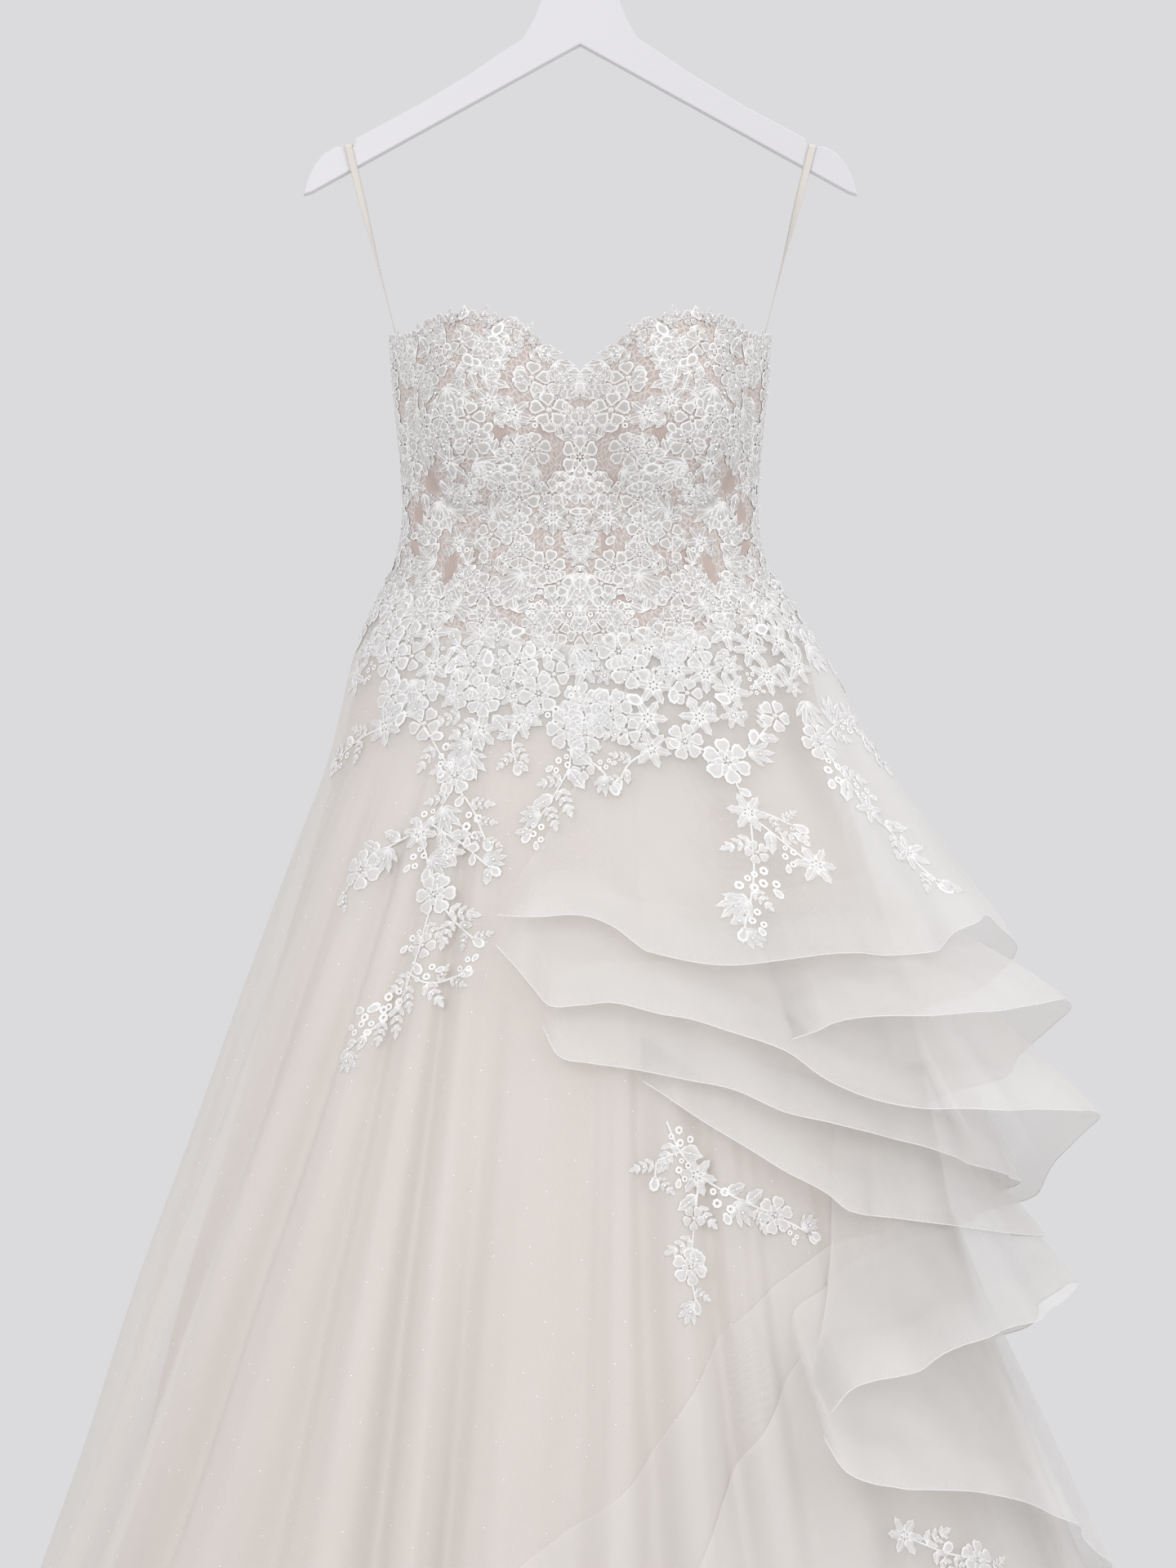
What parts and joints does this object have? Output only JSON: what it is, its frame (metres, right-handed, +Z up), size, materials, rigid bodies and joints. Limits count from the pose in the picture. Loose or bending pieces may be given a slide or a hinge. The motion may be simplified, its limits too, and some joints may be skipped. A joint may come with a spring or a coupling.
{
  "type": "wedding dress on a hanger",
  "caption": "Strapless ivory wedding dress with a lace bodice, a full tulle skirt and banded organza flounces down one side, hung by ribbon loops on a white wooden hanger.",
  "frame": {"origin": "inner top of the hanger's hook, where it rests on a rail", "axes": "+Z up, -Y out of the front of the dress, +X to the right of its front, which is the wearer's left side"},
  "size_m": [1.054, 0.9076, 1.6878],
  "materials": {
    "body_net": "sheer nude net over a thin body lining",
    "boning": "woven boning channel",
    "zip_metal": "polished",
    "zip_tape": "matt zip tape and coil",
    "satin_lining": "soft satin in pale blush",
    "tulle": "fine ivory net with a little glitter",
    "organza": "crisp ivory organza",
    "horsehair": "stiff open braid",
    "lace": "corded lace with beads",
    "painted_wood": "white satin paint",
    "hook_steel": "polished wire",
    "loop_ribbon": "narrow satin ribbon"
  },
  "bodies": {
    "dress": {"hanger_wood": "painted_wood", "hanger_hook": "hook_steel", "hanging_loop_left": "loop_ribbon", "hanging_loop_right": "loop_ribbon", "bodice_front": "body_net", "cup_left": "body_net", "cup_right": "body_net", "bodice_side_front_left": "body_net", "bodice_side_front_right": "body_net", "bodice_side_left": "body_net", "bodice_side_right": "body_net", "bodice_back_left": "body_net", "bodice_back_right": "body_net", "bone_left": "boning", "bone_right": "boning", "zip_chain": "zip_tape", "zip_slider": "zip_metal", "lining_front": "satin_lining", "lining_back_left": "satin_lining", "lining_back_right": "satin_lining", "skirt_front_left": "tulle", "skirt_front_right": "tulle", "skirt_back_left": "tulle", "skirt_back_right": "tulle", "flounce_1": "organza", "flounce_2": "organza", "flounce_3": "organza", "flounce_4": "organza", "flounce_5": "organza", "flounce_6": "organza", "flounce_7": "organza", "flounce_8": "organza", "flounce_9": "organza", "band_1": "horsehair", "band_2": "horsehair", "band_3": "horsehair", "band_4": "horsehair", "band_5": "horsehair", "band_6": "horsehair", "band_7": "horsehair", "band_8": "horsehair", "band_9": "horsehair", "lace_front_left": "lace", "lace_front_right": "lace", "lace_side_left": "lace", "lace_side_right": "lace", "lace_back_left": "lace", "lace_back_right": "lace", "girdle_front_left": "lace", "girdle_front_right": "lace", "girdle_back_left": "lace", "girdle_back_right": "lace", "spray_left": "lace", "spray_centre": "lace", "spray_right": "lace", "spray_side": "lace", "spray_low": "lace", "spray_hem": "lace"},
    "pull_tab": {"zip_pull": "zip_metal"}
  },
  "joints": [
    {"name": "pull_tab_hinge", "type": "hinge", "parent": "dress", "child": "pull_tab", "pos_m": [0, 0.07824, -0.408], "axis": [1, 0, 0], "range_deg": [0, 150]}
  ]
}
